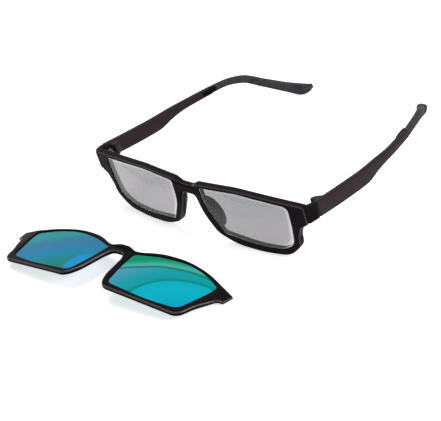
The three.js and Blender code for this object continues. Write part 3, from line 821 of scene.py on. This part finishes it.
# camera at the photograph's angle, fitted to the outlines
CAMERA_TURN, CAMERA_RISE, CAMERA_ROLL = (math.radians(a) for a in (50.197, 31.036, -15.374))
CAMERA_AWAY = 747.75
AIM = Vector((12.293 + stand[0], 4.075 + stand[1], 15)) * MM
FOCAL_PIXELS, IMAGE_WIDE = 1553.75, 441
SENSOR = 36


def place_camera():
    back = Vector((math.sin(CAMERA_TURN) * math.cos(CAMERA_RISE),
                   -math.cos(CAMERA_TURN) * math.cos(CAMERA_RISE), math.sin(CAMERA_RISE)))
    right = Vector((math.cos(CAMERA_TURN), math.sin(CAMERA_TURN), 0))
    up = back.cross(right)
    c, s = math.cos(CAMERA_ROLL), math.sin(CAMERA_ROLL)
    axes = Matrix((c * right + s * up, c * up - s * right, back)).transposed()
    data = bpy.data.cameras.new("camera")
    data.sensor_width = SENSOR
    data.lens = FOCAL_PIXELS * SENSOR / IMAGE_WIDE
    data.clip_start = 0.01
    camera = loose("camera", data)
    camera.matrix_world = Matrix.Translation(AIM + back * CAMERA_AWAY * MM) @ axes.to_4x4()
    scene.camera = camera


# white room: light level, floor and lamps as name, place, width and power
ROOM_LIGHT = 0.28
FLOOR_GLOW = 0.66
FLOOR_HALF = 3
FLOOR_DROP = 0.0003
LAMPS = [("key_lamp", (-0.25, 0.2, 0.8), 0.5, 3.9), ("fill_lamp", (0.7, 0.05, 0.34), 0.4, 4.2)]
LAMP_AIM = (0, 0, 0.02)


def seen_directly(tree):
    """1 for a ray straight from the camera, or by mirror or glass."""
    rays = add(tree, 'ShaderNodeLightPath').outputs
    either = worked(tree, 'MAXIMUM', rays["Is Camera Ray"], rays["Is Glossy Ray"])
    return worked(tree, 'MAXIMUM', either, rays["Is Transmission Ray"])


def white_room():
    scene.view_settings.view_transform = 'Standard'
    world = bpy.data.worlds.new("white_room")
    world.use_nodes = True
    scene.world = world
    tree = world.node_tree
    tree.nodes.clear()
    soft = add(tree, 'ShaderNodeBackground', Color=(1, 1, 1, 1), Strength=ROOM_LIGHT)
    white = add(tree, 'ShaderNodeBackground', Color=(1, 1, 1, 1), Strength=1.0)
    mix = add(tree, 'ShaderNodeMixShader', Fac=seen_directly(tree))
    tree.links.new(soft.outputs[0], mix.inputs[1])
    tree.links.new(white.outputs[0], mix.inputs[2])
    add(tree, 'ShaderNodeOutputWorld', Surface=mix.outputs[0])

    paper, tree, shader, place = new_finish("white_paper", Roughness=0.9, Specular_IOR_Level=0.0)
    grain = add(tree, 'ShaderNodeTexNoise', Vector=place, Scale=60.0, Detail=2.0).outputs["Fac"]
    tone = ramp(tree, grain, (0.3, (229, 229, 229)), (0.7, (233, 233, 233)))
    tree.links.new(tone, shader.inputs["Base Color"])
    shader.inputs["Emission Color"].default_value = (1, 1, 1, 1)
    glow = worked(tree, 'MULTIPLY', seen_directly(tree), FLOOR_GLOW)
    tree.links.new(glow, shader.inputs["Emission Strength"])
    mesh = bpy.data.meshes.new("floor")
    corners = [(x * FLOOR_HALF, y * FLOOR_HALF, -FLOOR_DROP) for x, y in ((-1, -1), (1, -1), (1, 1), (-1, 1))]
    mesh.from_pydata(corners, [], [(0, 1, 2, 3)])
    mesh.materials.append(paper)
    loose("floor", mesh)

    for name, spot, wide, power in LAMPS:
        lamp = bpy.data.lights.new(name, 'AREA')
        lamp.size = wide
        lamp.energy = power
        thing = loose(name, lamp)
        thing.location = spot
        thing.rotation_euler = (Vector(LAMP_AIM) - Vector(spot)).to_track_quat('-Z', 'Y').to_euler()


def lens_piece(name, outline, face, back, inset, place, body, slot, finish, node):
    points, faces, spot, rim = lens(outline, face, back, inset)
    mesh = plain_mesh(name, (points, faces), place)
    layer = mesh.uv_layers.new(name="lens_map")
    corner = np.array([loop.vertex_index for loop in mesh.loops])
    layer.data.foreach_set("uv", spot[corner].astype(np.float32).ravel())
    mark(mesh, "rim_share", rim)
    piece(name, mesh, body, slot, finish, [node], sharp=25)


def saddle(points):
    """Sets the bridge back from the rims, with coved flanks."""
    out = np.array(points)
    cove = eased(np.clip((SADDLE_HALF - np.abs(out[:, 0])) / SADDLE_RUN, 0, 1))
    out[:, 2] += SADDLE_DEPTH * cove * np.clip(1 - out[:, 2] / (0.75 * FRONT_DEPTH), 0, 1)
    return out


def arched(points):
    """Clip face raised over its bridge and let down along its two side tabs."""
    out = np.array(points)
    share = np.clip((-CLIP_GAP - out[:, 2]) / CLIP_DEPTH, 0, 1)
    side = np.clip((ARCH_HALF - np.abs(out[:, 0])) / ARCH_RUN, 0, 1)
    above = np.clip((out[:, 1] - ARCH_FOOT) / ARCH_CLIMB, 0, 1)
    out[:, 2] -= ARCH_RISE * share * eased(side) * eased(above)
    out[:, 2] += TAB_FALL * share * np.clip((np.abs(out[:, 0]) - TAB_START) / TAB_RUN, 0, 1)
    return out


opening = both_sides(OPENING)
clip_opening = both_sides(CLIP_OPENING)


def make_front():
    outer = eased_outline(whole(FRONT_HALF), 0.9)
    flat = plate(outer, opening.values(), FRONT_DEPTH, FRONT_EDGE, BACK_EDGE, 0,
                 (LENS_FACE + LENS_BACK) / 2, FRONT_GROOVE_HALF)
    face = bow(saddle(flat[0])), flat[1]
    pad = nose_pad()
    pad = bow(pad[0]), pad[1]
    end = end_piece()
    shape = joined(face, pad, flipped(pad), end, flipped(end))
    mesh = plain_mesh("front_moulding", shape, standing)
    mark(mesh, "round_share", flat[2])
    piece("front_moulding", mesh, "front", "shell", black_front, ["front_frame"])
    for side, line in opening.items():
        lens_piece(f"{side}_grey_lens", line, LENS_FACE, LENS_BACK, LENS_INSET, standing, "front",
                   "tinted_lens", grey_lens, f"lens_{side}")


def make_clip():
    outer = eased_outline(whole(CLIP_HALF), 0.9)
    start = -CLIP_GAP - CLIP_DEPTH
    mid = start + CLIP_DEPTH / 2
    flat = plate(outer, clip_opening.values(), CLIP_DEPTH, CLIP_EDGE, CLIP_BACK_EDGE, start,
                 mid, CLIP_GROOVE_HALF)
    mesh = plain_mesh("clip_moulding", (bow(arched(flat[0])), flat[1]), lying)
    mark(mesh, "round_share", flat[2])
    piece("clip_moulding", mesh, "clip", "clip_shell", black_clip, ["clip_frame"])
    for side, coat in (("right", right_mirror), ("left", left_mirror)):
        lens_piece(f"{side}_mirror_lens", clip_opening[side], mid - CLIP_LENS_HALF, mid + CLIP_LENS_HALF,
                   -CLIP_LENS_FIT, lying, "clip", "mirrored_lens", coat, f"clip_lens_{side}")


def make_arms():
    arm = joined(blade(TEMPLE, *ARM_SWEEP, square_start=True), hinge_boss())
    bent = [(y, x - inward, top + up, h, t) for (y, x, top, h, t), (inward, up) in zip(TIP, TIP_BEND)]
    shade_collar = blade(SHADE_COLLAR, *SHADE_COLLAR_SWEEP)
    for side, stations in (("right", bent), ("left", TIP)):
        tip = blade(stations, *TIP_SWEEP)
        body = f"temple_{side}"
        piece(f"{side}_temple_arm", plain_mesh("arm", sided(arm, side), standing), body, "temple_shell",
              brown_black, [f"temple_{side}"])
        piece(f"{side}_rubber_tip", plain_mesh("tip", sided(tip, side), standing), body, "tip_rubber",
              charcoal, [f"temple_tip_{side}"])
        # the ring gets the clip's darkest black: painted shade for the hollow where the temple meets the tip
        piece(f"{side}_tip_shade_collar", plain_mesh("shade_collar", sided(shade_collar, side), standing), body, "temple_shell",
              black_clip)


def make_hinges():
    mid_foot = HINGE_FOOT + KNUCKLE_H + TURN_GAP
    mid_top = mid_foot + MID_KNUCKLE_H
    mid = mid_foot + MID_KNUCKLE_H / 2
    leaf = joined(
        rounded_box((LEAF_IN, LEAF_START, HINGE_FOOT), (LEAF_OUT, LEAF_END, HINGE_TOP), LEAF_EDGE),
        *[rounded_box((LEAF_IN, LEAF_ARM_START, z), (LEAF_OUT, PIN_Y - BORE_R, z + KNUCKLE_H), LEAF_EDGE)
          for z in (HINGE_FOOT, HINGE_TOP - KNUCKLE_H)])
    bar_start = PIN_Y + BORE_R + BAR_CLEAR
    bar = joined(
        rounded_box((LEAF_IN, bar_start, mid_foot), (BAR_OUT, BAR_END, mid_top), BAR_EDGE),
        rounded_box((ROOT_IN, ROOT_START, mid_foot - ROOT_DROP),
                    (ROOT_OUT, ROOT_END, mid_top - ROOT_STEP), BAR_EDGE))
    up = LEAN @ (0, 0, 1)
    knuckles, screws = knuckle_tree(), screw_tree()
    for side, sx in (("right", 1), ("left", -1)):
        piece(f"{side}_front_leaf", plain_mesh("leaf", sided(leaf, side), standing), "front", "hinge_steel",
              dark_steel, [f"hinge_leaf_front_{side}"], sharp=30)
        piece(f"{side}_temple_leaf", plain_mesh("leaf", sided(bar, side), standing), f"temple_{side}",
              "hinge_steel", dark_steel, [f"hinge_leaf_temple_{side}"], sharp=30)
        middle = set_out(f"{side}_middle_knuckle", knuckles, standing([(sx * PIN_X, PIN_Y, mid)]), [up],
                         dark_steel, Height=MID_KNUCKLE_H * MM)
        piece(f"{side}_middle_knuckle", middle, f"temple_{side}", "hinge_steel", dark_steel, sharp=30)
    heights = (HINGE_FOOT + KNUCKLE_H / 2, HINGE_TOP - KNUCKLE_H / 2)
    places = [(sx * PIN_X, PIN_Y, z) for sx in (1, -1) for z in heights]
    outer = set_out("outer_knuckles", knuckles, standing(places), [up] * 4, dark_steel)
    piece("outer_knuckles", outer, "front", "hinge_steel", dark_steel, sharp=30)
    places = [(sx * PIN_X, PIN_Y, SCREW_MID) for sx in (1, -1)]
    pins = set_out("hinge_screws", screws, standing(places), [up] * 2, dark_steel)
    piece("hinge_screws", pins, "front", "hinge_steel", dark_steel,
          ["hinge_screw_right", "hinge_screw_left"], sharp=30)


def make_magnets():
    tree = magnet_tree()
    spots = {"left": (-MAGNET_U, MAGNET_V), "right": (MAGNET_U, MAGNET_V), "bridge": (0, BRIDGE_MAGNET_V)}
    for name, body, place, depth in (
            ("front_magnets", "front", standing, FRONT_DEPTH - MAGNET_H / 2 + MAGNET_PROUD),
            ("clip_magnets", "clip", lying, -CLIP_GAP - MAGNET_H / 2 + MAGNET_PROUD)):
        flat = np.array([(u, v, depth) for u, v in spots.values()])
        here = place(bow(flat))
        facing = (place(bow(flat + (0, 0, 1))) - here) / MM
        mesh = set_out(name, tree, here, facing, nickel)
        nodes = [f"{body}_magnet_{side}" for side in spots]
        piece(name, mesh, body, "magnet", nickel, nodes, sharp=30)


place_camera()
white_room()
make_front()
make_clip()
make_arms()
make_hinges()
make_magnets()
